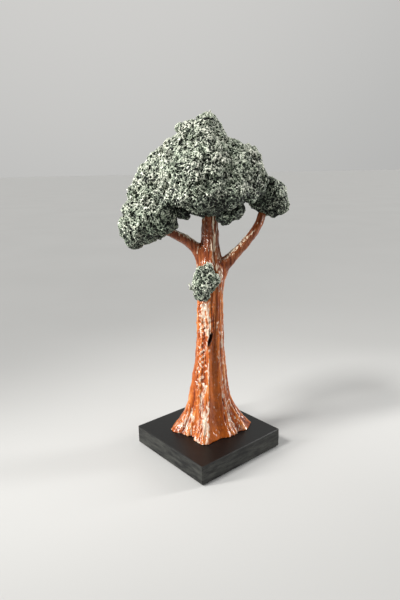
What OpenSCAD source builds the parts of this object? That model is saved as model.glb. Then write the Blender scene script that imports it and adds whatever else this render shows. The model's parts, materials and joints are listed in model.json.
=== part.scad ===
// Sculpted clay tree on a square black plinth.
// Millimetres, +Z up, origin at the centre of the felt's underside.
// The tree is laid out in its own frame (u across, v front to back, z above the plinth),
// which tree_frame() turns and lifts onto the plinth.

/* [Plinth] */
// Side of the square plinth
plate_side = 100; // [90:1:120]
// Thickness of the plinth board
plate_thick = 18; // [15:0.5:25]
// Chamfer along the plinth's edges
plate_chamfer = 0.6; // [0.3:0.1:1.5]
// Thickness of the felt sheet under the plinth
felt_thick = 1.5; // [1:0.5:3]
// Gap between the felt's edge and the plinth's edge
felt_inset = 2; // [1:0.5:5]

/* [Trunk] */
// How far the tree is turned on its plinth, in degrees
tree_turn = 50; // [0:1:90]
// Radius of the trunk at its waist
waist_r = 11.5; // [11:0.1:13]
// Radius of the hollows between the roots, at the plinth
hollow_r = 22.5; // [20:0.5:24]
// Height over which the root flare fades
flare_fade = 29; // [24:1:34]
// Depth of the shallow flutes up the trunk
flute_depth = 0.5; // [0.2:0.1:0.8]

/* [Armature] */
// Diameter of the threaded rod
rod_d = 5; // [4:0.5:5]
// Diameter of the bent steel wires
wire_d = 3; // [2:0.5:3]
// Diameter of the soft wire that ties the bundle
tie_d = 1; // [0.5:0.1:1]
// Clearance between one piece and the next
gap = 0.2; // [0.1:0.05:0.3]

/* [Foliage] */
// Thickness added to or taken off every lump of foliage
foliage_swell = 0; // [-0.5:0.1:1]
// Radius of the crumpled core in the crown
crown_core_r = 18; // [12:1:19]
// Radius of the crumpled cores in the two side clumps
side_core_r = 7; // [5:0.5:8]

/* [Hidden] */
$fn = 48;

plate_top = felt_thick + plate_thick;
eps = 0.01;
bark = [0.48, 0.27, 0.17];
leaf = [0.43, 0.46, 0.40];
steel = [0.62, 0.63, 0.65];
foil = [0.78, 0.79, 0.80];

// The rod's axis, across the tree's frame
rod_u = 4;
rod_top = 138;
core_foot = 6;
core_top = 142;
core_bore_r = rod_d / 2 + wire_d + tie_d + 0.3;
core_wall = 2.4;
nut_h = 4;
nut_flats = 8;
washer_h = 1;
washer_r = 7.5;
counterbore_r = 11;
counterbore_h = 8;
// The three wires stand round the rod, at these angles, clear of it by a hair
wire_ring_r = rod_d / 2 + wire_d / 2 + 0.05;

// Each root: [its direction in degrees, its reach from the trunk's axis]
roots = [[6, 41], [60, 36], [120, 34], [184, 40.5], [256, 35], [314, 28]];
root_power = 9;
trunk_top = 222;
trunk_rings = 26;
trunk_sides = 48;
fork_swell = [[0, 0], [130, 0], [155, 1], [170, -1.5], [184, -3.4], [212, -5.3], [222, -5.6]];
lean = [[0, 3.2], [90, 3.8], [150, 4.6], [185, 5.4], [222, 5.5]];

// Branches: [u, v, z, radius], from inside the trunk to inside the foliage
left_path = [
    [1, 0, 160, 7], [-2, -0.5, 171, 6.2], [-7, -2, 179.5, 5.3], [-15.5, -4, 187.5, 4.4],
    [-24.5, -6, 193, 4], [-33, -7.5, 197.5, 3.8], [-42, -8, 202, 3.6],
];
right_path = [
    [8, 0, 148, 8.5], [12, 0, 156, 7.8], [17.5, 0, 163.5, 6.2], [25.5, 0.5, 172, 5.1],
    [32.5, 1, 179, 4.5], [39.5, 2, 186.5, 4.1], [45.5, 3, 194, 3.9], [49.8, 4, 201.5, 3.6],
    [52.6, 5, 209, 3.4], [54.6, 5.7, 215, 3.3],
];
// Centres of the crumpled cores in the foliage
crown_core_at = [2, 4, 240];
left_core_at = [-52, -7, 208];
right_core_at = [58, 7, 227];
// The ring on each path where the branch is joined to the trunk's stub
left_joint = 3;
right_joint = 4;
joint_shift = 0.6;
// The wires beside the rod, then on through the trunk's fork
wire_foot = 8;
wire_left_path = concat(
    [[rod_u - wire_ring_r, 0, wire_foot], [rod_u - wire_ring_r, 0, 144], [-0.8, -0.2, 160]],
    [for (i = [1 : len(left_path) - 1]) [for (k = [0 : 2]) left_path[i][k]]],
    [left_core_at - [2, 0, 1]]
);
wire_right_path = concat(
    [[rod_u + wire_ring_r, 0, wire_foot], [rod_u + wire_ring_r, 0, 144]],
    [for (i = [1 : len(right_path) - 1]) [for (k = [0 : 2]) right_path[i][k]]],
    [right_core_at - [0, 0, 1]]
);
wire_crown_path = [
    [rod_u, wire_ring_r, wire_foot], [rod_u, wire_ring_r, 144], [rod_u + 0.5, 2.5, 160],
    [5.2, 0.8, 180], [5.5, 0, 200], [5, 0.5, 226], [4, 2, 236],
];

// Lumps of foliage: [u, v, z, radius]
front_lumps = [
    [-2, -12, 238, 28], [12, -16, 232, 21], [-16, -12, 246, 22], [4, -12, 256, 20], [3, 2, 232, 20],
];
top_lumps = [[4, 2, 289, 9.5], [3, 3, 276, 15], [-10, 2, 274, 16], [-22, 2, 264, 16]];
left_shoulder_lumps = [[-34, 4, 246, 20], [-46, 4, 236, 18], [-50, 0, 226, 16]];
right_shoulder_lumps = [[30, -6, 245, 22], [39, -4, 238, 17], [27, 2, 255, 17], [38, 2, 254, 14]];
back_lumps = [
    [0, 20, 238, 27], [-20, 20, 234, 22], [20, 18, 240, 22], [0, 14, 260, 20],
    [-36, 14, 246, 17], [34, 12, 248, 17], [-12, 10, 268, 17], [3, 8, 280, 13],
];
// The crown's back is pressed on along a flat joint, this far behind the trunk's middle
back_joint = 8;
left_clump_lumps = [
    [-48, -8, 208, 20], [-58, -4, 202, 18], [-36, -10, 208, 15],
    [-65, 0, 193, 11.5], [-55, 4, 218, 16],
];
right_clump_lumps = [[66, 4, 226, 12.5], [60, 8, 230, 13], [54, 8, 222, 12.5], [68, 6, 220, 10.5]];
under_right_lumps = [[19, -12, 211, 9.5], [27, -8, 217, 9]];
under_left_lumps = [[-19, -6, 214, 9], [-25, -4, 217, 9]];
tuft_lumps = [[0, -15, 152, 12.5], [-4, -16, 144, 9.5], [4, -15, 159, 9]];
// The tuft is pinned to the trunk
pin_from = [2, -6, 151];
pin_to = [1, -18, 151];
pin_d = 1.5;
// The leader's end, and the room it needs in the crown
leader_u = 5.5;
leader_foot = 205;
leader_r = 7;

function root_bump(a) = [for (r = roots)
    (r[1] - hollow_r) * pow(max(0, cos(a - r[0])), root_power)] * [for (r = roots) 1];
function trunk_r(a, z) = waist_r + lookup(z, fork_swell)
    + exp(-z / flare_fade) * (hollow_r - waist_r + root_bump(a))
    + flute_depth * cos(6 * a + 40) * (1 - z / trunk_top);
function ring_z(i) = trunk_top * pow(i / trunk_rings, 1.4);
function xyz(p) = [p[0], p[1], p[2]];
// A point on a smooth curve through a path's points, at the fraction t beyond point i
function between(path, i, t) =
    let (a = path[max(i - 1, 0)], b = path[i], c = path[i + 1], d = path[min(i + 2, len(path) - 1)])
    (2 * b + (c - a) * t + (2 * a - 5 * b + 4 * c - d) * t * t + (3 * b - a - 3 * c + d) * t * t * t) / 2;

module tree_frame() {
    translate([0, 0, plate_top]) rotate([0, 0, tree_turn]) children();
}

module on_rod() {
    tree_frame() translate([rod_u, 0, 0]) children();
}

module lumps(list, grow = 0) {
    for (p = list) translate(xyz(p)) sphere(r = p[3] + foliage_swell + grow);
}

// A straight round peg from one point to another
module peg(from, to, r) {
    d = to - from;
    translate(from)
        rotate([0, acos(d[2] / norm(d)), atan2(d[1], d[0])])
            cylinder(r = r, h = norm(d));
}

// A tube of clay along a smooth path whose radius changes
module clay_chain(path, first, last, steps = 2) {
    beads = concat(
        [for (i = [first : last - 1], k = [0 : steps - 1]) between(path, i, k / steps)], [path[last]]
    );
    for (i = [0 : len(beads) - 2]) hull() for (b = [beads[i], beads[i + 1]])
        translate(xyz(b)) sphere(r = b[3], $fn = 18);
}

// A wire, swept along its path as one closed tube
module bent_wire(path, r, sides = 10) {
    n = len(path);
    dir = [for (i = [0 : n - 1]) let (d = path[min(i + 1, n - 1)] - path[max(i - 1, 0)]) d / norm(d)];
    side = [for (d = dir) let (s = cross(d, [0, 1, 0])) s / norm(s)];
    points = [for (i = [0 : n - 1], k = [0 : sides - 1]) let (a = 360 * k / sides)
        path[i] + r * (cos(a) * side[i] + sin(a) * cross(dir[i], side[i]))];
    walls = [for (i = [0 : n - 2], k = [0 : sides - 1]) let (m = (k + 1) % sides)
        [i * sides + k, (i + 1) * sides + k, (i + 1) * sides + m, i * sides + m]];
    ends = [[for (k = [0 : sides - 1]) k], [for (k = [sides - 1 : -1 : 0]) (n - 1) * sides + k]];
    polyhedron(points, concat(walls, ends), convexity = 4);
}

// Everything on the far side of a joint, just past one point of the path
module beyond(path, i, reach = 60) {
    d = xyz(path[i + 1]) - xyz(path[i - 1]);
    translate(xyz(path[i]))
        rotate([0, acos(d[2] / norm(d)), atan2(d[1], d[0])])
            translate([-reach, -reach, joint_shift]) cube([2 * reach, 2 * reach, 2 * reach]);
}

// The outside of the trunk: a waist, a leader and a flare of roots
module trunk_skin() {
    points = [for (i = [0 : trunk_rings], k = [0 : trunk_sides - 1])
        let (z = ring_z(i), a = 360 * k / trunk_sides, r = trunk_r(a, z))
        [lookup(z, lean) + r * cos(a), r * sin(a), z]];
    walls = [for (i = [0 : trunk_rings - 1], k = [0 : trunk_sides - 1])
        let (m = (k + 1) % trunk_sides, b = i * trunk_sides, t = b + trunk_sides)
        [b + k, t + k, t + m, b + m]];
    ends = [
        [for (k = [0 : trunk_sides - 1]) k],
        [for (k = [trunk_sides - 1 : -1 : 0]) trunk_rings * trunk_sides + k],
    ];
    polyhedron(points, concat(walls, ends), convexity = 6);
}

// The outer outline of the crumpled core, which is wider at its foot
function core_outline(grow = 0) = let (r = core_bore_r + core_wall + grow) [
    [r + 4.6, core_foot - grow], [r + 2.6, 20], [r + 1, 50], [r, 100], [r - 0.6, core_top + grow],
];

module base_felt() {
    side = plate_side - 2 * felt_inset;
    color([0.06, 0.06, 0.06]) linear_extrude(felt_thick) square(side, center = true);
}

module base_plate() {
    c = 2 * plate_chamfer;
    color([0.11, 0.11, 0.10]) difference() {
        translate([0, 0, felt_thick + plate_thick / 2]) hull() {
            cube([plate_side - c, plate_side - c, plate_thick], center = true);
            cube([plate_side, plate_side - c, plate_thick - c], center = true);
            cube([plate_side - c, plate_side, plate_thick - c], center = true);
        }
        on_rod() translate([0, 0, -plate_thick - eps]) {
            cylinder(r = rod_d / 2 + gap, h = plate_thick + 2 * eps);
            cylinder(r = counterbore_r, h = counterbore_h + eps);
        }
    }
}

module washer(z) {
    color(steel) on_rod() translate([0, 0, z]) difference() {
        cylinder(r = washer_r, h = washer_h);
        translate([0, 0, -eps]) cylinder(r = rod_d / 2 + gap, h = washer_h + 2 * eps);
    }
}

module nut(z) {
    color(steel) on_rod() translate([0, 0, z]) difference() {
        cylinder(d = nut_flats / cos(30), h = nut_h, $fn = 6);
        translate([0, 0, -eps]) cylinder(r = rod_d / 2 + 0.02, h = nut_h + 2 * eps);
    }
}

module washer_lower() { washer(counterbore_h - plate_thick - washer_h); }
module nut_lower() { nut(counterbore_h - plate_thick - washer_h - nut_h); }
module washer_upper() { washer(0); }
module nut_upper() { nut(washer_h); }

module armature_rod() {
    foot = -plate_thick + 1;
    color(steel) on_rod() translate([0, 0, foot]) {
        cylinder(r1 = rod_d / 2 - 0.5, r2 = rod_d / 2, h = 0.5);
        translate([0, 0, 0.5]) cylinder(r = rod_d / 2, h = rod_top - foot - 1);
        translate([0, 0, rod_top - foot - 0.5]) cylinder(r1 = rod_d / 2, r2 = rod_d / 2 - 0.5, h = 0.5);
    }
}

module wire_left() { color(steel) tree_frame() bent_wire(wire_left_path, wire_d / 2); }
module wire_right() { color(steel) tree_frame() bent_wire(wire_right_path, wire_d / 2); }
module wire_crown() { color(steel) tree_frame() bent_wire(wire_crown_path, wire_d / 2); }

// Three turns of soft wire round the bundle
module tie(z) {
    turn_r = rod_d / 2 + wire_d + tie_d / 2 + 0.15;
    color(steel) on_rod() for (i = [0 : 2]) translate([0, 0, z + i * tie_d * 0.95])
        rotate_extrude() translate([turn_r, 0]) circle(d = tie_d, $fn = 24);
}

module tie_low() { tie(40); }
module tie_high() { tie(120); }

module trunk_core() {
    color(foil) on_rod() rotate_extrude()
        polygon(concat([[core_bore_r, core_foot]], core_outline(), [[core_bore_r, core_top]]));
}

// Everything the trunk's clay has to leave room for
module trunk_hollow() {
    foot_r = washer_r + 0.6;
    translate([rod_u, 0, 0]) rotate_extrude($fn = 32) polygon(concat(
        [[0, -1], [foot_r, -1], [foot_r, core_foot - gap]], core_outline(gap), [[0, core_top + gap]]
    ));
    wire_channels();
}

// Room for the three wires, a hair wider than they are
module wire_channels() {
    bent_wire(wire_left_path, wire_d / 2 + 0.1);
    bent_wire(wire_right_path, wire_d / 2 + 0.1);
    bent_wire(wire_crown_path, wire_d / 2 + 0.1);
}

module trunk() {
    color(bark) tree_frame() difference() {
        union() {
            trunk_skin();
            difference() {
                clay_chain(left_path, 0, left_joint + 1);
                beyond(left_path, left_joint);
            }
            difference() {
                clay_chain(right_path, 0, right_joint + 1);
                beyond(right_path, right_joint);
            }
        }
        trunk_hollow();
        peg(pin_from, pin_to, pin_d / 2 + 0.1);
    }
}

module branch(path, joint) {
    color(bark) tree_frame() difference() {
        intersection() {
            clay_chain(path, joint - 1, len(path) - 1);
            beyond(path, joint);
        }
        wire_channels();
    }
}

module left_branch() { branch(left_path, left_joint); }
module right_branch() { branch(right_path, right_joint); }

// A ball of crumpled foil on the end of a wire
module foil_core(at, r, path) {
    last = len(path) - 1;
    color(foil) tree_frame() difference() {
        translate(at) sphere(r = r);
        peg(path[last - 1], path[last], wire_d / 2 + 0.15);
    }
}

module crown_core() { foil_core(crown_core_at, crown_core_r, wire_crown_path); }
module left_core() { foil_core(left_core_at, side_core_r, wire_left_path); }
module right_core() { foil_core(right_core_at, side_core_r, wire_right_path); }

// Room in the crown for its core, the leader's end and the wire between them
module crown_inside() {
    last = len(wire_crown_path) - 1;
    translate(crown_core_at) sphere(r = crown_core_r + gap);
    translate([leader_u, 0, leader_foot]) cylinder(r = leader_r, h = trunk_top + gap - leader_foot);
    peg(wire_crown_path[last - 1], wire_crown_path[last], wire_d / 2 + 0.15);
}

// Room in a side clump for its core and for the end of its branch
module clump_inside(core_at, path) {
    last = len(path) - 1;
    from = xyz(path[last - 1]);
    to = xyz(path[last]);
    translate(core_at) sphere(r = side_core_r + gap);
    peg(from - (to - from) * 0.4, to, path[last - 1][3] + 0.5);
}

// Everything behind the crown's flat joint
module behind_joint(at) {
    translate([-150, at, 150]) cube([300, 150, 300]);
}

module crown_front() {
    color(leaf) tree_frame() difference() {
        lumps(front_lumps);
        crown_inside();
        behind_joint(back_joint);
    }
}

module crown_top() {
    color(leaf) tree_frame() difference() {
        lumps(top_lumps);
        lumps(front_lumps, gap / 2);
        crown_inside();
        behind_joint(back_joint);
    }
}

module shoulder_left() {
    color(leaf) tree_frame() difference() {
        lumps(left_shoulder_lumps);
        lumps(front_lumps, gap / 2);
        lumps(top_lumps, gap / 2);
        behind_joint(back_joint);
    }
}

module shoulder_right() {
    color(leaf) tree_frame() difference() {
        lumps(right_shoulder_lumps);
        lumps(front_lumps, gap / 2);
        lumps(top_lumps, gap / 2);
        behind_joint(back_joint);
    }
}

module crown_back() {
    color(leaf) tree_frame() difference() {
        intersection() {
            lumps(back_lumps);
            behind_joint(back_joint + gap);
        }
        crown_inside();
    }
}

module left_clump() {
    color(leaf) tree_frame() difference() {
        lumps(left_clump_lumps);
        lumps(left_shoulder_lumps, gap / 2);
        clump_inside(left_core_at, left_path);
    }
}

module right_clump() {
    color(leaf) tree_frame() difference() {
        lumps(right_clump_lumps);
        lumps(right_shoulder_lumps, gap / 2);
        clump_inside(right_core_at, right_path);
    }
}

module under_left() {
    color(leaf) tree_frame() difference() {
        lumps(under_left_lumps);
        lumps(front_lumps, gap / 2);
        lumps(left_shoulder_lumps, gap / 2);
        lumps(left_clump_lumps, gap / 2);
    }
}

module under_right() {
    color(leaf) tree_frame() difference() {
        lumps(under_right_lumps);
        lumps(front_lumps, gap / 2);
        lumps(right_shoulder_lumps, gap / 2);
    }
}

module trunk_tuft() {
    color(leaf) tree_frame() difference() {
        lumps(tuft_lumps);
        translate([4.6, 0, 125]) cylinder(r = waist_r + 1.4, h = 50);
        peg(pin_from, pin_to, pin_d / 2 + 0.1);
    }
}

module tuft_pin() {
    color(steel) tree_frame() peg(pin_from, pin_to, pin_d / 2);
}

base_felt();
base_plate();
washer_lower();
nut_lower();
washer_upper();
nut_upper();
armature_rod();
wire_left();
wire_right();
wire_crown();
tie_low();
tie_high();
trunk_core();
trunk();
left_branch();
right_branch();
crown_core();
left_core();
right_core();
crown_front();
crown_top();
shoulder_left();
shoulder_right();
crown_back();
left_clump();
right_clump();
under_left();
under_right();
trunk_tuft();
tuft_pin();
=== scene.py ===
"""Looks for the sculpted clay tree: foliage, bark, plinth, light and camera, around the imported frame."""
import json
import math

import bmesh
import bpy
import numpy as np
import openvdb as vdb
from mathutils import Matrix, Vector


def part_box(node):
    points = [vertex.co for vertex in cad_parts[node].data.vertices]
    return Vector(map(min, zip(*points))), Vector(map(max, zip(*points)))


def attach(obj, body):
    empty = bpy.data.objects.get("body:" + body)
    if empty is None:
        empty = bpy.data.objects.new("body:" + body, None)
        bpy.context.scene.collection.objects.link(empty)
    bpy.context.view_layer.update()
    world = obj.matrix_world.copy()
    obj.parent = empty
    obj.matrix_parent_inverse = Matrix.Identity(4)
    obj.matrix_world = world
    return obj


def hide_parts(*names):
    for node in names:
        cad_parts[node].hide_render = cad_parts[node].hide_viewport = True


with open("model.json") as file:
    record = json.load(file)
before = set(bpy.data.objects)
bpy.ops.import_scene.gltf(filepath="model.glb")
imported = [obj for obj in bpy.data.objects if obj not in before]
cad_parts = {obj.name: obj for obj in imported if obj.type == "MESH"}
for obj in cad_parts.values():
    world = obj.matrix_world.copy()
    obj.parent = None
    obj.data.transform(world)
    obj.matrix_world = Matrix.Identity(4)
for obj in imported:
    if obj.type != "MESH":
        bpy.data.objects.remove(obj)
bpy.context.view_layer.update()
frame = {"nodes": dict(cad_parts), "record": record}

# Everything that is sculpted is laid out in millimetres in the tree's own frame:
# u across, v front to back, z above the plinth. to_row() turns it into the row frame.
MM = 0.001
TREE_TURN = math.radians(50)
PLATE_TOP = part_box("base_plate")[1].z
ACROSS = Vector((math.cos(TREE_TURN), math.sin(TREE_TURN), 0))
BACK = Vector((-math.sin(TREE_TURN), math.cos(TREE_TURN), 0))
VOXEL = 0.6
LEAF_VOXEL = 0.55

# Foliage lumps: u, v, z, radius
CLUMPS = {
    "crown_front": [
        (-2, -12, 238, 28), (12, -16, 232, 21), (-16, -12, 246, 22), (4, -12, 256, 20), (3, 2, 232, 20),
    ],
    "crown_top": [(4, 2, 289, 9.5), (3, 3, 276, 15), (-10, 2, 273, 16), (-21, 2, 262, 15)],
    "shoulder_left": [(-34, 4, 246, 20), (-46, 4, 236, 18), (-50, 0, 226, 16)],
    "shoulder_right": [(30, -6, 245, 22), (39, -4, 238, 17), (27, 2, 255, 17), (38, 2, 254, 14)],
    "crown_back": [
        (0, 20, 238, 27), (-20, 20, 234, 22), (20, 18, 240, 22), (0, 14, 260, 20),
        (-36, 14, 246, 17), (34, 12, 248, 17), (-12, 10, 268, 17), (3, 8, 280, 13),
    ],
    "left_clump": [
        (-48, -8, 208, 20), (-58, -4, 202, 18), (-36, -10, 208, 15), (-64.3, -0.5, 193, 11.1),
        (-54, 3, 218, 15.5),
    ],
    "right_clump": [
        (64, 4, 226, 12), (59, 7, 230, 12.8), (54, 8, 222, 12.5), (66, 5, 220, 10), (70, 4, 216.5, 7.5),
    ],
    "under_left": [(-19, -6, 214, 9), (-25, -4, 217, 9)],
    "under_right": [(19, -12, 211, 9.5), (27, -8, 217, 9)],
}
# The clumps that share one skin; the others are pressed against it
CROWN = ("crown_front", "crown_top", "shoulder_left", "shoulder_right", "crown_back", "left_clump")
CROWN_SPACE = ((-84, -50, 172), (88, 58, 306))
CROWN_SEED = 11
TUFT = {"trunk_tuft": [(-1, -15, 152, 12), (-4.5, -16, 144, 9.5), (2, -15, 159, 9)]}
TUFT_SPACE = ((-20, -34, 128), (18, 4, 176))
TUFT_SEED = 21

# Trunk: each root's direction in degrees and its reach, then radii and heights
ROOTS = [(6, 41), (60, 36), (120, 34), (184, 40.5), (256, 35), (314, 28)]
ROOT_POWER = 9
WAIST_R = 11.5
HOLLOW_R = 22.5
FLARE_FADE = 29
TRUNK_TOP = 222
# By height: what the radius gains, and how far the axis leans
FORK_SWELL = [(0, 0), (130, 0), (155, 1), (170, -1.5), (184, -3.4), (212, -5.3), (222, -5.6)]
LEAN = [(0, 3.2), (90, 3.8), (150, 4.6), (185, 5.4), (222, 5.5)]
# Branches: u, v, z, radius, and the point of each path where the branch is a piece of its own
LEFT_PATH = [
    (1, 0, 160, 7), (-2, -0.5, 171, 6.2), (-7, -2, 179.5, 5.3), (-15.5, -4, 187.5, 4.4),
    (-24.5, -6, 193, 4), (-33, -7.5, 197.5, 3.8), (-42, -8, 202, 3.6),
]
RIGHT_PATH = [
    (8, 0, 148, 8.5), (12, 0, 156, 7.8), (17.5, 0, 163.5, 6.2), (25.5, 0.5, 172, 5.1),
    (32.5, 1, 179, 4.5), (39.5, 2, 186.5, 4.1), (45.5, 3, 194, 3.9), (49.8, 4, 201.5, 3.6),
    (52.6, 5, 209, 3.4), (54.6, 5.7, 215, 3.3),
]
BRANCHES = {"left_branch": (LEFT_PATH, 3), "right_branch": (RIGHT_PATH, 4)}

# Marks on the bark: directions round the trunk in degrees, counted from the right, and heights
GROOVE_AT = [(0, 300), (60, 297), (110, 295), (150, 294), (222, 292)]
FRONT = 270
PANEL_AT = 287
PANEL_EDGE = 265
TOOLED_AT = 228
SWELL_AT = 205
DIP_AT = 345
KNOT_AT = 269
KNOT_Z = 97
KNOT_SIZE = (7, 6)
KNOT_SLANT = 1.1


# ---------------------------------------------------------------- fields

BAND = 3.0        # how far from a skin its distance field still counts


class Grid:
    """A block of voxels in the tree's frame."""

    def __init__(self, low, high, voxel):
        self.low = np.array(low, float)
        self.voxel = voxel
        self.shape = tuple(int(n) for n in np.ceil((np.array(high, float) - self.low) / voxel) + 1)
        axes = [(self.low[i] + voxel * np.arange(self.shape[i])).astype(np.float32) for i in range(3)]
        self.u, self.v, self.z = np.meshgrid(*axes, indexing="ij", sparse=True)

    def ball(self, lump):
        """Distance from the skin of a ball, less than 0 inside it."""
        u, v, z, r = lump
        return np.sqrt((self.u - u) ** 2 + (self.v - v) ** 2 + (self.z - z) ** 2) - np.float32(r)

    def sample(self, values, points):
        """A grid of values read at points by trilinear interpolation."""
        at = np.clip((points - self.low) / self.voxel, 0, np.array(self.shape) - 1.001)
        cell = at.astype(int)
        t = at - cell
        out = np.zeros(len(points))
        for corner in range(8):
            step = np.array([corner & 1, corner >> 1 & 1, corner >> 2 & 1])
            weight = np.prod(np.where(step == 1, t, 1 - t), axis=1)
            i = cell + step
            out += weight * values[i[:, 0], i[:, 1], i[:, 2]]
        return out


def band_noise(shape, voxel, wavelength, spread, seed):
    """Smooth random values whose bumps all have about one size, with a spread of 1 and a mean of 0."""
    white = np.random.RandomState(seed).standard_normal(shape).astype(np.float32)
    waves = np.fft.rfftn(white)
    axes = [np.fft.fftfreq(n, voxel) for n in shape[:2]] + [np.fft.rfftfreq(shape[2], voxel)]
    k = np.sqrt(sum(f.reshape([-1 if i == j else 1 for j in range(3)]) ** 2 for i, f in enumerate(axes)))
    waves *= np.exp(-(((k * wavelength - 1) / spread) ** 2))
    out = np.fft.irfftn(waves, s=shape).astype(np.float32)
    return (out - out.mean()) / out.std()


def smooth_union(fields, k):
    """Distance fields joined with a soft fillet of about k."""
    total = sum(np.exp(np.clip(-f / k, -60, 60)) for f in fields)
    return -k * np.log(total + 1e-25)


def soft_max(a, b, k):
    """Where two shapes overlap, with the edge between them rounded off by about k."""
    reach = np.maximum(k - np.abs(a - b), 0) / k
    return np.maximum(a, b) + reach ** 2 * k / 4


def surface(field, grid):
    """The closed skin where a field is zero: points in the tree's frame, and quads."""
    vdb_grid = vdb.FloatGrid()
    vdb_grid.background = BAND
    solid = np.pad(np.clip(field, -BAND, BAND), 1, constant_values=BAND)
    vdb_grid.copyFromArray(np.ascontiguousarray(solid, dtype=np.float32))
    points, quads = vdb_grid.convertToQuads(0.0)
    return (points - 1) * grid.voxel + grid.low, quads


# ---------------------------------------------------------------- meshes

def to_row(points):
    """Points in the tree's frame, in millimetres, as points in the row frame, in metres."""
    points = np.asarray(points, float) * MM
    return np.outer(points[:, 0], ACROSS) + np.outer(points[:, 1], BACK) + np.outer(
        points[:, 2], (0, 0, 1)) + np.array((0, 0, PLATE_TOP))


def mesh_piece(name, points, faces, attributes):
    """A smooth piece in the scene, with a value of each attribute at every point."""
    mesh = bpy.data.meshes.new(name)
    mesh.from_pydata(to_row(points), [], faces.tolist())
    for key, values in attributes.items():
        layer = mesh.attributes.new(key, "FLOAT", "POINT")
        layer.data.foreach_set("value", np.asarray(values, np.float32))
    mesh.shade_smooth()
    piece = bpy.data.objects.new(name, mesh)
    bpy.context.scene.collection.objects.link(piece)
    return piece


# ---------------------------------------------------------------- foliage

# The foliage's relief: for each kind of bump, its wavelength, the spread of that, and its height
RELIEF = {
    "curls": (3.5, 0.65, 0.90),
    "lumps": (20, 0.5, 1.2),
    "knobs": (15, 0.6, 0.85),
    "folds": (9, 0.6, 0.36),
}
LUMP_FILLET = 2.5     # how softly the lumps of one clump run together
SKIN_FILLET = 3.5     # how softly the clumps of the crown run together
SKIN_EASE = 1.8       # what the crown is drawn in by, because fillets swell it
CLUMP_EASE = 1.2      # the same for the clumps that stand alone
TUFT_EASE = 1.9       # and for the tuft
SEAM = 0.06           # gap left between pieces of one mass
CREASE = 0.35         # gap left between neighbouring masses
CREASE_FILLET = 2.2   # how far a mass is rounded off along that gap
CREASE_SHADE = 3      # how far the painted shade runs out of it

SKIRT_REACH = (43, 35)
SKIRT_Z = 228
SKIRT_R = 7.5


def skirt(grid):
    """The crown's rim, a thick oval roll round its flat underside."""
    long, short = SKIRT_REACH
    across = (grid.u - 1) / long
    deep = (grid.v - 1) / short
    out = np.sqrt(across ** 2 + deep ** 2) + 1e-6
    reach = 1 / np.sqrt((across / out / long) ** 2 + (deep / out / short) ** 2 + 1e-12)
    radial = (out - 1) * np.minimum(reach, long)
    return np.sqrt(radial ** 2 + (grid.z - SKIRT_Z) ** 2) - SKIRT_R


def least(fields):
    nearest = fields[0]
    for other in fields[1:]:
        nearest = np.minimum(nearest, other)
    return nearest


def foliage_relief(shape, seed):
    """How far the foliage stands out at each voxel, and the kinds of bump that this is the sum of."""
    noise = {
        kind: band_noise(shape, LEAF_VOXEL, wavelength, spread, seed + i)
        for i, (kind, (wavelength, spread, _)) in enumerate(RELIEF.items())
    }
    bumps = {
        "curls": 1 - np.minimum(np.maximum(1.35 * noise["curls"], -0.7 * noise["curls"]), 2.0),
        "lumps": noise["lumps"],
        "knobs": np.minimum(np.abs(noise["knobs"]) / 0.6 - 1.33, 1.3),
        "folds": 1 - np.minimum(np.abs(noise["folds"]) / 0.6, 2.6),
    }
    return sum(RELIEF[kind][2] * values for kind, values in bumps.items()), bumps


def sculpt_clumps(clumps, joined, space, seed, ease):
    """One closed, textured piece for each clump; those in joined flow into one another."""
    grid = Grid(*space, LEAF_VOXEL)
    raw = {
        name: smooth_union([grid.ball(lump) for lump in lumps], LUMP_FILLET) for name, lumps in clumps.items()
    }
    relief, bumps = foliage_relief(grid.shape, seed)
    skin = None
    if joined:
        skin = smooth_union([raw[name] for name in joined] + [skirt(grid)], SKIN_FILLET) + SKIN_EASE
    pieces = {}
    for name in clumps:
        smooth = skin if name in joined else raw[name] + ease
        shape = smooth - relief
        near = [raw[other] for other in clumps if other != name and (other in joined) == (name in joined)]
        far = [raw[other] for other in clumps if other != name and (other in joined) != (name in joined)]
        if far:
            crease = (raw[name] - least(far)) / 2 + CREASE
            shape = soft_max(shape, crease, CREASE_FILLET)
        if near:
            shape = np.maximum(shape, (raw[name] - least(near)) / 2 + SEAM)
        points, quads = largest_shell(*surface(shape, grid))
        attributes = {kind: grid.sample(bumps[kind], points) for kind in ("curls", "knobs", "folds")}
        # How far the smooth skin faces up. The paint uses this to put painted shade on surfaces that face
        # down.
        attributes["upward"] = grid.sample(np.gradient(smooth, axis=2) / LEAF_VOXEL, points)
        # Painted shade: how near each point is to a crease between masses, so the paint can be darkened
        # there.
        attributes["painted_crease_shade"] = np.zeros(len(points))
        if far:
            attributes["painted_crease_shade"] = np.exp(np.minimum(grid.sample(crease, points), 0) / CREASE_SHADE)
        pieces[name] = mesh_piece("foliage_" + name, points, quads, attributes)
    return pieces


def largest_shell(points, quads):
    """Only the largest connected shell of a mesh, without the crumbs that noise leaves beside it."""
    label = np.arange(len(points))
    while True:
        low = label[quads].min(axis=1)
        new = label.copy()
        np.minimum.at(new, quads.ravel(), np.repeat(low, 4))
        new = new[new]
        if (new == label).all():
            break
        label = new
    names, counts = np.unique(label, return_counts=True)
    keep = label == names[counts.argmax()]
    index = np.cumsum(keep) - 1
    return points[keep], index[quads[keep[quads[:, 0]]]]


# ---------------------------------------------------------------- trunk and branches

def stations(table, z):
    """A table of (height, value), read at heights."""
    return np.interp(z, [row[0] for row in table], [row[1] for row in table])


def trunk_radius(angle, z):
    """The trunk's radius in each direction at each height: a waist, a fork, and roots at its foot."""
    bump = sum(
        (reach - HOLLOW_R) * np.maximum(0, np.cos(angle - math.radians(at))) ** ROOT_POWER
        for at, reach in ROOTS
    )
    return WAIST_R + stations(FORK_SWELL, z) + np.exp(-z / FLARE_FADE) * (HOLLOW_R - WAIST_R + bump)


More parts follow.
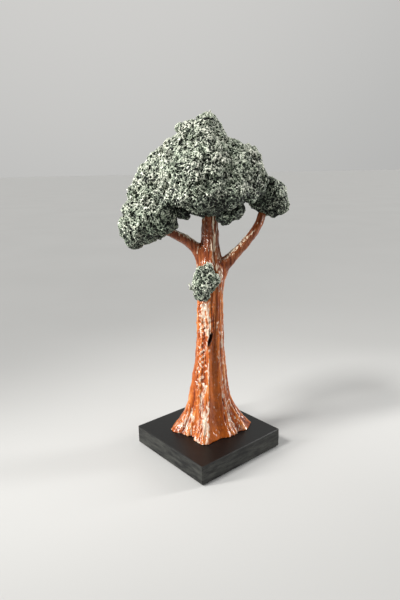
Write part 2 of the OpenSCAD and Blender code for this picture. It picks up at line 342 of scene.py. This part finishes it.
def chain(points, path):
    """Distance to a tube whose radius changes along a path, and how far along it each point is."""
    best = np.full(len(points), 1e9)
    along = np.zeros(len(points))
    walked = 0.0
    for a, b in zip(path[:-1], path[1:]):
        start, end = np.array(a[:3], float), np.array(b[:3], float)
        line = end - start
        length = np.linalg.norm(line)
        t = np.clip((points - start) @ line / length ** 2, 0, 1)
        d = np.linalg.norm(points - start - t[:, None] * line, axis=1) - (a[3] + (b[3] - a[3]) * t)
        nearer = d < best
        best[nearer] = d[nearer]
        along[nearer] = walked + t[nearer] * length
        walked += length
    return best, along


def smooth_path(path, steps=4):
    """A curve through a path's points."""
    rows = np.array(path, float)
    out = []
    for i in range(len(rows) - 1):
        a, b, c, d = rows[max(i - 1, 0)], rows[i], rows[i + 1], rows[min(i + 2, len(rows) - 1)]
        for k in range(steps):
            t = k / steps
            out.append((2 * b + (c - a) * t + (2 * a - 5 * b + 4 * c - d) * t ** 2
                        + (3 * b - a - 3 * c + d) * t ** 3) / 2)
    return [tuple(row) for row in out] + [tuple(rows[-1])]


def wrap_noise(turns, rows, around, up, seed, rippled=0):
    """A map of noise on a tube, two rows to a millimetre: its bumps are 1/around of a turn wide and up tall.

    With rippled at 1 they also follow one another up the tube at that spacing.
    """
    white = np.random.RandomState(seed).standard_normal((turns, rows))
    waves = np.fft.rfft2(white)
    across = np.abs(np.fft.fftfreq(turns, 1 / turns))[:, None]
    along = np.fft.rfftfreq(rows, 0.5)[None, :]
    off_width = (across - around) / (0.45 * around)
    off_height = (along * up - rippled) / (1 - 0.5 * rippled)
    waves *= np.exp(-(off_width ** 2) - off_height ** 2)
    out = np.fft.irfft2(waves, s=(turns, rows))
    return (out - out.mean()) / out.std()


def read_wrap(noise, angle, height):
    """The tube's map read at angles, in radians, and heights, in millimetres."""
    turns, rows = noise.shape
    x = (angle / (2 * math.pi) % 1) * turns
    y = np.clip(height, 0, rows / 2 - 2) * 2
    i, j = x.astype(int) % turns, y.astype(int)
    s, t = x - np.floor(x), y - np.floor(y)
    k = (i + 1) % turns
    return ((1 - s) * (1 - t) * noise[i, j] + s * (1 - t) * noise[k, j]
            + (1 - s) * t * noise[i, j + 1] + s * t * noise[k, j + 1])


def angle_gap(angle, degrees):
    """How far an angle is from a direction, in degrees, from -180 to 180."""
    return (np.degrees(angle) - degrees + 180) % 360 - 180


def bell(x, width):
    """1 at x = 0, fading over a width."""
    return np.exp(-(x / width) ** 2)


def ramp(x, low, high):
    """0 below low, 1 above high, and eased between."""
    t = np.clip((x - low) / (high - low), 0, 1)
    return t * t * (3 - 2 * t)


def bark_relief(angle, z):
    """How far the bark stands out of the trunk: flutes, the long groove, tool marks and the knot hole."""
    foot = np.exp(-z / 34)
    front = angle_gap(angle, PANEL_AT)
    groove = angle_gap(angle, stations(GROOVE_AT, z))
    along = ramp(z, 28, 62) * (1 - ramp(z, 190, 215))
    out = (0.30 + 0.35 * foot) * read_wrap(MAPS["flutes"], angle, z)
    out += (0.18 + 0.15 * foot) * read_wrap(MAPS["fine"], angle, z)
    out *= 1 - 0.85 * bell(front, 20) * (1 - ramp(z, 35, 80))
    out -= 1.3 * bell(groove, 6) * along
    out += 0.7 * bell(groove - 13, 7) * along
    out -= 2.0 * bell(front, 17) * (1 - ramp(z, 50, 100))
    out += 1.5 * bell(angle_gap(angle, PANEL_EDGE), 5) * (1 - ramp(z, 80, 110))
    out += 0.42 * tooled(angle, z) * read_wrap(MAPS["scallops"], angle + z / 60, z)
    out += 2.2 * bell(angle_gap(angle, SWELL_AT), 38) * bell(z - 52, 28)
    out -= 2.0 * bell(angle_gap(angle, DIP_AT), 32) * bell(z - 30, 18)
    hole = knot(angle, z)
    return out + 0.8 * bell(hole - 1.2, 0.35) - 2.0 * (1 - ramp(hole, 0.3, 1.0))


def knot(angle, z):
    """Distance from the slanting knot hole, as a share of its size."""
    wide, tall = KNOT_SIZE
    across = angle_gap(angle, KNOT_AT + KNOT_SLANT * (z - KNOT_Z)) / wide
    above = (z - KNOT_Z) / tall
    return 0.16 * read_wrap(MAPS["fine"], angle * 2, z * 3) + np.sqrt(across ** 2 + above ** 2)


def tooled(angle, z):
    """Where the bark was pressed with a tool while wet, on the left of the front."""
    return bell(angle_gap(angle, TOOLED_AT), 24) * ramp(z, 20, 45) * (1 - ramp(z, 128, 150))


def wood_field(grid):
    """The whole of the trunk and both branches, with their bark worked in."""
    u, v, z = np.broadcast_arrays(grid.u, grid.v, grid.z)
    axis_u = stations(LEAN, grid.z).astype(np.float32)
    rho = np.sqrt((grid.u - axis_u) ** 2 + grid.v ** 2)
    reach = WAIST_R + 32 * np.exp(-np.maximum(grid.z, 0) / FLARE_FADE)
    near = rho < reach + 6
    left = smooth_path(LEFT_PATH)
    right = smooth_path(RIGHT_PATH)
    for lump in left[::2] + right[::2]:
        near = near | (grid.ball(lump) < 7)
    field = np.full(grid.shape, BAND, np.float32)
    points = np.stack([u[near], v[near], z[near]], axis=1).astype(float)
    field[near] = wood_at(points, left, right)
    return field


def wood_at(points, left, right):
    """Distance from the bark at points: the trunk, with a branch along each path."""
    u, v, z = points.T
    zc = np.clip(z, 0, TRUNK_TOP)
    du = u - stations(LEAN, zc)
    rho = np.sqrt(du ** 2 + v ** 2)
    angle = np.arctan2(v, du)
    steep = np.sqrt(1 + ((HOLLOW_R - WAIST_R + 12) / FLARE_FADE * np.exp(-zc / FLARE_FADE)) ** 2)

    relief = bark_relief(angle, zc)
    trunk = (rho - trunk_radius(angle, zc) - relief) / steep
    trunk = np.maximum(trunk, z - TRUNK_TOP)

    limbs = []
    for path, turned in ((left, 0.0), (right, 2.1)):
        d, along = chain(points, path)
        turn = np.arctan2(v - along_path(path, along, 1), u - along_path(path, along, 0)) + turned
        limbs.append(d - 0.22 * read_wrap(MAPS["twig"], turn, along))
    wood = smooth_union([trunk] + limbs, 1.6)
    return np.maximum(wood, -z)


def along_path(path, along, axis):
    """One coordinate of the points that are so far along a path."""
    steps = [math.dist(a[:3], b[:3]) for a, b in zip(path[:-1], path[1:])]
    walked = np.concatenate([[0], np.cumsum(steps)])
    return np.interp(along, walked, [p[axis] for p in path])


# Noise wrapped round the trunk and the branches
MAPS = {
    "flutes": wrap_noise(512, 512, 13, 60, 31),
    "fine": wrap_noise(512, 512, 34, 22, 32),
    "twig": wrap_noise(256, 512, 5, 18, 33),
    "marks": wrap_noise(512, 512, 10, 12, 35),
    "scallops": wrap_noise(512, 512, 12, 6, 34, 1),
}


def sculpt_wood():
    """The trunk and the two branches, each a closed piece."""
    grid = Grid((-50, -44, -1.2), (62, 48, TRUNK_TOP + 1.2), VOXEL)
    field = wood_field(grid)
    crinkle = band_noise(grid.shape, VOXEL, 4.0, 0.35, 41)
    dents = band_noise(grid.shape, VOXEL, 11, 0.4, 42)
    rough = np.exp(-((grid.z - 112) / 14) ** 2) * np.exp(-((grid.u + 2) / 7) ** 2)
    field = field - (0.08 + 0.22 * rough) * crinkle - 0.15 * dents
    field = np.maximum(field, -grid.z)
    points, quads = largest_shell(*surface(field, grid))
    attributes = {"crinkle": grid.sample(crinkle, points)}
    attributes.update(bark_attributes(points))
    return split_wood(mesh_piece("wood", points, quads, attributes))


def wear_and_highlight_share(angle, z, panel):
    """Where the bark gets pale marks, partly stain rubbed through to the pale clay and partly painted
    highlight standing in for varnish glints: a floor of 0.05 and a term for each place.
    """
    side = angle_gap(angle, FRONT)
    strokes = ramp(read_wrap(MAPS["scallops"], angle + z / 60, z), -0.2, 0.8)
    low_left = ramp(side, -72, -56) * (1 - ramp(side, -16, -8)) * ramp(z, 36, 50) * (1 - ramp(z, 90, 96))
    return np.maximum.reduce([
        np.full(len(z), 0.05),
        ramp(side, -70, -52) * (1 - ramp(side, -2, 9)) * ramp(z, 95, 103) * (1 - ramp(z, 128, 136)),
        0.95 * low_left * strokes,
        0.80 * ramp(side, -44, -34) * (1 - ramp(side, -7, -3)) * (1 - ramp(z, 44, 66)),
        0.80 * ramp(side, -14, -9) * (1 - ramp(side, -6, -2)) * (1 - ramp(z, 76, 92)),
        0.66 * bell(angle_gap(angle, 205), 22) * (1 - ramp(z, 20, 36)),
        0.68 * bell(angle_gap(angle, 332), 26) * (1 - ramp(z, 60, 110)),
        0.42 * bell(angle_gap(angle, 325), 32),
        0.85 * bell(angle_gap(angle, 285), 17) * ramp(z, 138, 156),
        # Painted highlight: a pale ring a little below the knot hole.
        0.9 * bell(knot(angle, z + 2) - 1.7, 0.4),
        0.80 * bell(angle_gap(angle, 292), 20) * ramp(z, 152, 162) * (1 - ramp(z, 186, 202)),
        0.78 * bell(angle_gap(angle, 318), 24) * bell(z - 152, 14),
    ]) * (1 - 0.75 * panel)


def bark_attributes(points):
    """What the bark's material needs to know at each point."""
    u, v, z = points.T
    z = np.clip(z, 0, TRUNK_TOP)
    du = u - stations(LEAN, z)
    angle = np.arctan2(v, du)
    limb = ramp(np.sqrt(du ** 2 + v ** 2) - trunk_radius(angle, z), 1.5, 5)
    groove = angle_gap(angle, stations(GROOVE_AT, z))
    side = angle_gap(angle, FRONT)
    edge = stations([(0, 42), (45, 43), (91, 26), (115, 18)], z)
    panel = ramp(side, -6, -1) * (1 - ramp(side, edge - 7, edge)) * (1 - ramp(z, 88, 112))
    raised = read_wrap(MAPS["flutes"], angle, z) + 0.8 * read_wrap(MAPS["fine"], angle, z)
    return {
        "wear_and_highlight": wear_and_highlight_share(angle, z, panel) * (1 - limb),
        "marks": read_wrap(MAPS["marks"], angle, z),
        "raised": raised * (1 - limb),
        "groove": bell(groove, 7) * ramp(z, 25, 60) * (1 - ramp(z, 190, 215)) * (1 - limb),
        "panel": panel,
        "tooled": tooled(angle, z) * (1 - limb),
        "hole": 1 - ramp(knot(angle, z), 1.0, 1.4),
        "limb": limb,
        "high": ramp(z, 140, 185),
    }


def split_wood(whole):
    """The trunk and the two branches, cut apart at their joints."""
    joints = {}
    for name, (path, joint) in BRANCHES.items():
        spots = to_row([path[i][:3] for i in (joint - 1, joint, joint + 1, -1)])
        before, at, after, tip = (Vector(spot) for spot in spots)
        joints[name] = (at, (after - before).normalized(), tip)
    pieces = {name: cut_piece(whole, name, *joint) for name, joint in joints.items()}
    for joint in joints.values():
        cut_off(whole, *joint)
    whole.name = "bark_trunk"
    whole.data.name = "bark_trunk"
    pieces["trunk"] = whole
    return pieces


def limb_points(bm, at, way, tip):
    """The points beyond a joint that hang together with the branch's tip."""
    start = min(bm.verts, key=lambda w: (w.co - tip).length_squared)
    seen = {start}
    queue = [start]
    while queue:
        w = queue.pop()
        for edge in w.link_edges:
            other = edge.other_vert(w)
            if other not in seen and (other.co - at).dot(way) > -1e-7:
                seen.add(other)
                queue.append(other)
    return seen


def joint_plane_cut(bm, at, way, reach=0.012):
    """Cuts new edges through the limb only, where it crosses its joint."""
    geom = [f for f in bm.faces if (f.calc_center_median() - at).length < reach]
    edges = {e for f in geom for e in f.edges}
    verts = {w for f in geom for w in f.verts}
    bmesh.ops.bisect_plane(bm, geom=list(verts) + list(edges) + geom, dist=1e-8, plane_co=at, plane_no=way)


def close_joint(bm):
    """A flat, sharp-edged cap over the cut."""
    rim = [e for e in bm.edges if e.is_boundary]
    bmesh.ops.holes_fill(bm, edges=rim, sides=0)
    for e in rim:
        e.smooth = False


def cut_piece(whole, name, at, way, tip):
    """A copy of the limb beyond a joint, as a closed piece."""
    piece = whole.copy()
    piece.data = whole.data.copy()
    piece.name = piece.data.name = "bark_" + name
    bpy.context.scene.collection.objects.link(piece)
    bm = bmesh.new()
    bm.from_mesh(piece.data)
    joint_plane_cut(bm, at, way)
    limb = limb_points(bm, at, way, tip)
    bmesh.ops.delete(bm, geom=[w for w in bm.verts if w not in limb], context="VERTS")
    close_joint(bm)
    bm.to_mesh(piece.data)
    bm.free()
    return piece


def cut_off(whole, at, way, tip):
    """Takes the limb beyond a joint off the whole, and closes the cut."""
    bm = bmesh.new()
    bm.from_mesh(whole.data)
    joint_plane_cut(bm, at, way)
    limb = limb_points(bm, at, way, tip)
    faces = [f for f in bm.faces if all(w in limb for w in f.verts)]
    bmesh.ops.delete(bm, geom=faces, context="FACES")
    close_joint(bm)
    bm.to_mesh(whole.data)
    bm.free()


# ---------------------------------------------------------------- materials

class Shader:
    """Shorthand for building one node material."""

    def __init__(self, name):
        self.material = bpy.data.materials.new(name)
        self.material.use_nodes = True
        self.tree = self.material.node_tree
        self.bsdf = self.tree.nodes["Principled BSDF"]

    def node(self, kind, **settings):
        made = self.tree.nodes.new(kind)
        for key, value in settings.items():
            setattr(made, key, value)
        return made

    def link(self, source, target):
        self.tree.links.new(source, target)

    def attribute(self, key):
        """A value that mesh_piece() stored at each point."""
        return self.node("ShaderNodeAttribute", attribute_name=key).outputs["Fac"]

    def feed(self, socket, value):
        """Sets a socket to a number, or links another node's output to it."""
        if hasattr(value, "is_output"):
            self.link(value, socket)
        else:
            socket.default_value = value

    def math(self, operation, a, b=0.0, clamp=False):
        made = self.node("ShaderNodeMath", operation=operation, use_clamp=clamp)
        self.feed(made.inputs[0], a)
        self.feed(made.inputs[1], b)
        return made.outputs[0]

    def scaled(self, value, by, plus=0.0, clamp=False):
        """value * by + plus."""
        made = self.node("ShaderNodeMath", operation="MULTIPLY_ADD", use_clamp=clamp)
        for socket, given in zip(made.inputs, (value, by, plus)):
            self.feed(socket, given)
        return made.outputs[0]

    def upright(self):
        """How far the surface faces up, from -1 to 1."""
        parts = self.node("ShaderNodeSeparateXYZ")
        self.link(self.node("ShaderNodeNewGeometry").outputs["Normal"], parts.inputs[0])
        return parts.outputs["Z"]

    def ramp(self, value, stops):
        """A colour ramp; stops are (place, colour)."""
        made = self.node("ShaderNodeValToRGB")
        ramp = made.color_ramp
        while len(ramp.elements) < len(stops):
            ramp.elements.new(0.5)
        for element, (place, colour) in zip(ramp.elements, stops):
            element.position = place
            element.color = (*colour, 1)
        self.link(value, made.inputs["Fac"])
        return made.outputs["Color"]

    def mix(self, factor, a, b, blend="MIX"):
        """Colour a with colour b over it; each is a constant or another node's output."""
        made = self.node("ShaderNodeMix", data_type="RGBA", blend_type=blend)
        self.feed(made.inputs["Factor"], factor)
        for socket, value in ((made.inputs[6], a), (made.inputs[7], b)):
            if isinstance(value, tuple):
                socket.default_value = (*value, 1)
            else:
                self.link(value, socket)
        return made.outputs[2]

    def noise(self, scale, detail=3.0, rough=0.55, stretch=(1, 1, 1)):
        """Noise from 0 to 1 that is fixed to the piece; a stretch below 1 draws it out along that axis."""
        place = self.node("ShaderNodeTexCoord")
        mapping = self.node("ShaderNodeMapping")
        mapping.inputs["Scale"].default_value = stretch
        made = self.node("ShaderNodeTexNoise")
        made.inputs["Scale"].default_value = scale
        made.inputs["Detail"].default_value = detail
        made.inputs["Roughness"].default_value = rough
        self.link(place.outputs["Object"], mapping.inputs["Vector"])
        self.link(mapping.outputs["Vector"], made.inputs["Vector"])
        return made.outputs["Fac"]

    def bump(self, height, distance, strength=1.0):
        """Fine relief, distance metres deep."""
        made = self.node("ShaderNodeBump")
        made.inputs["Distance"].default_value = distance
        made.inputs["Strength"].default_value = strength
        self.link(height, made.inputs["Height"])
        self.link(made.outputs["Normal"], self.bsdf.inputs["Normal"])


def linear(r, g, b):
    """An sRGB colour, 0 to 255, as linear light."""
    def one(c):
        c /= 255
        return c / 12.92 if c <= 0.04045 else ((c + 0.055) / 1.055) ** 2.4
    return tuple(one(c) for c in (r, g, b))


def foliage_material():
    """Dark green-black clay, with mint and cream dry-brush paint where the ridges stand up, and painted shade
    in the creases between masses and on surfaces that face down.
    """
    s = Shader("painted_foliage")
    drybrush_and_painted_shade = s.scaled(s.noise(980, 2), 2.3, -1.13)
    # The curls, knobs and folds take the pale dry-brush paint; next to a crease between masses the paint is
    # darkened as painted shade.
    for key, weight in (("curls", 0.85), ("knobs", 0.06), ("folds", 0.06), ("painted_crease_shade", -0.35)):
        drybrush_and_painted_shade = s.scaled(s.attribute(key), weight, drybrush_and_painted_shade)
    # Painted shade: less pale paint where the surface faces down. This is partly dry-brush paint coming from
    # above and partly shade painted under the crown.
    drybrush_and_painted_shade = s.scaled(s.math("MINIMUM", s.attribute("upward"), 0.5), 0.24, drybrush_and_painted_shade)
    paint = s.ramp(drybrush_and_painted_shade, [
        (0.0, linear(17, 20, 17)), (0.15, linear(56, 64, 55)), (0.36, linear(112, 121, 107)),
        (0.60, linear(162, 168, 151)), (0.78, linear(222, 222, 206)), (1.0, linear(254, 252, 241)),
    ])
    patch = s.ramp(s.noise(60, 3), [(0.35, (0.68, 0.75, 0.69)), (0.60, (1, 1, 1))])
    s.link(s.mix(1.0, paint, patch, "MULTIPLY"), s.bsdf.inputs["Base Color"])
    s.bsdf.inputs["Roughness"].default_value = 0.6
    s.bsdf.inputs["Specular IOR Level"].default_value = 0.25
    s.bump(s.noise(1300, 4, 0.6), 0.0004, 0.8)
    return s.material


def bark_material():
    """Red-brown stained clay under gloss varnish, darker in the grooves, with pale marks that are partly
    rubbed-through stain and partly painted highlight, and the knot hole painted near-black as painted shade.
    """
    s = Shader("varnished_bark")
    streak = s.noise(520, 4, 0.6, (1, 1, 0.10))
    cloud = s.noise(70, 3, 0.55, (1, 1, 0.5))
    tone = s.scaled(s.attribute("raised"), 0.10, -0.39)
    tone = s.scaled(streak, 1.2, tone)
    tone = s.scaled(cloud, 0.5, tone)
    wood = s.ramp(tone, [
        (0.05, linear(66, 20, 4)), (0.28, linear(126, 50, 8)), (0.48, linear(166, 80, 18)),
        (0.70, linear(194, 110, 44)), (0.98, linear(226, 168, 118)),
    ])
    amber = s.ramp(s.scaled(streak, 0.4, cloud), [(0.45, linear(124, 52, 0)), (0.9, linear(190, 94, 2))])
    wood = s.mix(s.math("MULTIPLY", s.attribute("panel"), 0.9), wood, amber)
    wood = s.mix(s.math("MULTIPLY", s.attribute("groove"), 0.4), wood, linear(160, 82, 6))
    umber = s.ramp(streak, [
        (0.3, linear(40, 15, 7)), (0.5, linear(94, 46, 26)), (0.75, linear(150, 102, 78)),
    ])
    high = s.math("MAXIMUM", s.attribute("limb"), s.attribute("high"))
    wood = s.mix(s.math("MULTIPLY", high, 0.62), wood, umber)
    # Painted highlight: pale marks on the upward faces of the branches, where the light falls.
    painted_top_highlight = s.scaled(s.upright(), 1.45, -0.145, clamp=True)
    wear_and_painted_highlight = s.math("MAXIMUM", s.attribute("wear_and_highlight"), s.math("MULTIPLY", painted_top_highlight, s.attribute("limb")))
    grain = s.node("ShaderNodeMix", data_type="FLOAT")
    s.feed(grain.inputs[0], s.attribute("tooled"))
    s.feed(grain.inputs[2], s.noise(600, 3, 0.65, (1, 1, 0.16)))
    s.feed(grain.inputs[3], s.noise(600, 3, 0.65, (1, 1, 0.6)))
    flecks = s.scaled(grain.outputs[0], 8.5, -4.25)
    spread = s.scaled(s.attribute("marks"), 0.30, 0.85)
    cover = s.scaled(s.math("MULTIPLY", wear_and_painted_highlight, spread), 2.3, -1.25)
    mark = s.math("ADD", flecks, s.scaled(s.attribute("crinkle"), 0.25, cover), clamp=True)
    # The pale marks are painted lighter and creamier up high, a painted highlight where the crown shades
    # them.
    pale = s.mix(high, linear(202, 184, 164), linear(250, 234, 206))
    wood = s.mix(s.math("MULTIPLY", mark, 0.92), wood, pale)
    # Painted shade: the knot hole and its walls are painted near-black.
    wood = s.mix(s.attribute("hole"), wood, linear(30, 9, 4))
    s.link(wood, s.bsdf.inputs["Base Color"])
    s.bsdf.inputs["Roughness"].default_value = 0.5
    s.bsdf.inputs["Specular IOR Level"].default_value = 0.1
    s.link(s.math("SUBTRACT", 1.0, s.attribute("hole")), s.bsdf.inputs["Coat Weight"])
    s.bsdf.inputs["Coat Roughness"].default_value = 0.09
    s.bsdf.inputs["Coat IOR"].default_value = 1.35
    s.bump(s.math("ADD", s.noise(700, 4, 0.6, (1, 1, 0.12)), s.noise(380, 3)), 0.0005, 0.55)
    return s.material


def lacquer_material():
    """Satin black paint with pale streaks along the plinth's sides, partly paint laid on thin and partly
    painted sheen.
    """
    s = Shader("black_lacquer")
    base = s.ramp(s.noise(300, 3), [(0.3, linear(8, 8, 8)), (0.7, linear(16, 16, 15))])
    side = s.math("SUBTRACT", 1.0, s.math("ABSOLUTE", s.upright()), clamp=True)
    # Painted sheen: pale streaks on the side faces, partly paint laid on thin.
    streaks_and_painted_sheen = s.scaled(s.noise(70, 5, 0.7, (1, 1, 5)), 2.6, -1.092, clamp=True)
    base = s.mix(s.math("MULTIPLY", side, streaks_and_painted_sheen), base, linear(74, 75, 70))
    s.link(base, s.bsdf.inputs["Base Color"])
    s.bsdf.inputs["Roughness"].default_value = 0.4
    s.bsdf.inputs["Specular IOR Level"].default_value = 0.3
    s.bump(s.noise(900, 3), 0.00008, 0.5)
    return s.material


def plain_material(name, light, dark, rough, metal, scale):
    """A finish for the parts inside: two tones of one colour, with fine grain."""
    s = Shader(name)
    s.link(s.ramp(s.noise(scale, 3), [(0.35, dark), (0.65, light)]), s.bsdf.inputs["Base Color"])
    s.bsdf.inputs["Roughness"].default_value = rough
    s.bsdf.inputs["Metallic"].default_value = metal
    s.bump(s.noise(scale * 2, 3), 0.0001, 0.4)
    return s.material


def wear(piece, material):
    """Gives a piece one material."""
    piece.data.materials.clear()
    piece.data.materials.append(material)


# ---------------------------------------------------------------- the object

foliage = foliage_material()
bark = bark_material()
materials = {
    "plinth": lacquer_material(),
    "felt": plain_material("black_felt", linear(26, 26, 26), linear(14, 14, 14), 0.95, 0.0, 1800),
    "steel": plain_material("zinc_steel", (0.60, 0.60, 0.62), (0.42, 0.42, 0.44), 0.32, 1.0, 500),
    "foil": plain_material("crumpled_foil", (0.82, 0.82, 0.83), (0.55, 0.55, 0.57), 0.28, 1.0, 260),
}

slots = {row["node"]: row["material_slot"] for row in frame["record"]["subparts"]}
leaves = sculpt_clumps(CLUMPS, CROWN, CROWN_SPACE, CROWN_SEED, CLUMP_EASE)
leaves.update(sculpt_clumps(TUFT, (), TUFT_SPACE, TUFT_SEED, TUFT_EASE))
wood = sculpt_wood()
for pieces, material, slot in ((leaves, foliage, "foliage"), (wood, bark, "bark")):
    for node, piece in pieces.items():
        wear(piece, material)
        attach(piece, "root")
        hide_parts(node)

for node, part in frame["nodes"].items():
    if slots[node] in materials:
        wear(part, materials[slots[node]])


# ---------------------------------------------------------------- studio

# Places are in the tree's frame, in millimetres; the pitch is in degrees and the roll in radians
CAMERA_AT = (-5.1, -452.7, 248.2)
CAMERA_PITCH = 14.457
CAMERA_ROLL = -0.021
LENS = 30
SENSOR = 36
SUN_WAY = ACROSS * 0.58 + BACK * 0.38 - Vector((0, 0, 0.76))
SUN_STRENGTH = 2.0
SUN_ANGLE = 13
LAMP_SPREAD = 70
FLOOR_REACH = 60      # in metres
# The pale room: brightest this way, and its light by how far a direction agrees with that
GLOW_WAY = BACK * 0.75 - ACROSS * 0.15 + Vector((0, 0, 0.55))
GLOW = [
    (0.0, (0.33, 0.33, 0.33)), (0.45, (0.38, 0.38, 0.38)),
    (0.72, (0.51, 0.51, 0.50)), (1.0, (0.70, 0.69, 0.67)),
]


def place_camera():
    """A camera at the viewer's place, level with the tree but for its pitch and roll."""
    data = bpy.data.cameras.new("view")
    data.lens = LENS
    data.sensor_width = SENSOR
    data.clip_start = 0.01
    camera = bpy.data.objects.new("view", data)
    bpy.context.scene.collection.objects.link(camera)
    pitch = math.radians(CAMERA_PITCH)
    up = BACK * math.sin(pitch) + Vector((0, 0, math.cos(pitch)))
    turned_right = ACROSS * math.cos(CAMERA_ROLL) + up * math.sin(CAMERA_ROLL)
    turned_up = up * math.cos(CAMERA_ROLL) - ACROSS * math.sin(CAMERA_ROLL)
    back = turned_right.cross(turned_up)
    turn = Matrix((turned_right, turned_up, back)).transposed().to_4x4()
    camera.matrix_world = Matrix.Translation(Vector(to_row([CAMERA_AT])[0])) @ turn
    bpy.context.scene.camera = camera


def area_light(name, at, aim, size, power, colour):
    """A soft rectangular light; at and aim are in the tree's frame, in millimetres."""
    data = bpy.data.lights.new(name, "AREA")
    data.shape = "RECTANGLE"
    data.size, data.size_y = size
    data.energy = power
    data.color = colour
    data.spread = math.radians(LAMP_SPREAD)
    light = bpy.data.objects.new(name, data)
    bpy.context.scene.collection.objects.link(light)
    start, end = (Vector(to_row([p])[0]) for p in (at, aim))
    light.location = start
    light.rotation_euler = (end - start).to_track_quat("-Z", "Y").to_euler()


def lay_floor():
    """A plain pale floor, wide enough that its far edge is out of sight."""
    bpy.ops.mesh.primitive_circle_add(vertices=96, radius=FLOOR_REACH, fill_type="NGON", location=(0, 0, 0))
    floor = bpy.context.object
    floor.name = "floor"
    s = Shader("pale_floor")
    base = s.ramp(s.noise(3, 2), [(0.3, (0.55, 0.55, 0.54)), (0.7, (0.57, 0.57, 0.56))])
    s.link(base, s.bsdf.inputs["Base Color"])
    s.bsdf.inputs["Roughness"].default_value = 0.8
    s.bsdf.inputs["Specular IOR Level"].default_value = 0.1
    wear(floor, s.material)


def light_room():
    """A pale room: bright behind the tree and overhead, dimmer behind the viewer."""
    world = bpy.data.worlds.new("studio")
    world.use_nodes = True
    tree = world.node_tree
    place = tree.nodes.new("ShaderNodeTexCoord")
    toward = tree.nodes.new("ShaderNodeVectorMath")
    toward.operation = "DOT_PRODUCT"
    toward.inputs[1].default_value = GLOW_WAY
    tree.links.new(place.outputs["Generated"], toward.inputs[0])
    glow = tree.nodes.new("ShaderNodeValToRGB")
    while len(glow.color_ramp.elements) < len(GLOW):
        glow.color_ramp.elements.new(0.5)
    for element, (spot, colour) in zip(glow.color_ramp.elements, GLOW):
        element.position = spot
        element.color = (*colour, 1)
    tree.links.new(toward.outputs["Value"], glow.inputs["Fac"])
    tree.links.new(glow.outputs["Color"], tree.nodes["Background"].inputs["Color"])
    tree.nodes["Background"].inputs["Strength"].default_value = 1.0
    bpy.context.scene.world = world


def light_tree():
    """A soft sun from the upper left front, a window on the left and a thin strip of light on the right."""
    sun = bpy.data.lights.new("sun", "SUN")
    sun.energy = SUN_STRENGTH
    sun.angle = math.radians(SUN_ANGLE)
    sun.color = (1.0, 0.99, 0.97)
    above = bpy.data.objects.new("sun", sun)
    above.rotation_euler = SUN_WAY.to_track_quat("-Z", "Y").to_euler()
    bpy.context.scene.collection.objects.link(above)
    area_light("window", (-600, -230, 300), (0, 0, 150), (0.10, 0.42), 1.1, (1.0, 0.985, 0.96))
    area_light("strip", (620, 120, 260), (0, 0, 130), (0.10, 0.5), 0.7, (1.0, 0.99, 0.98))


bpy.context.scene.view_settings.view_transform = "Standard"
place_camera()
lay_floor()
light_room()
light_tree()
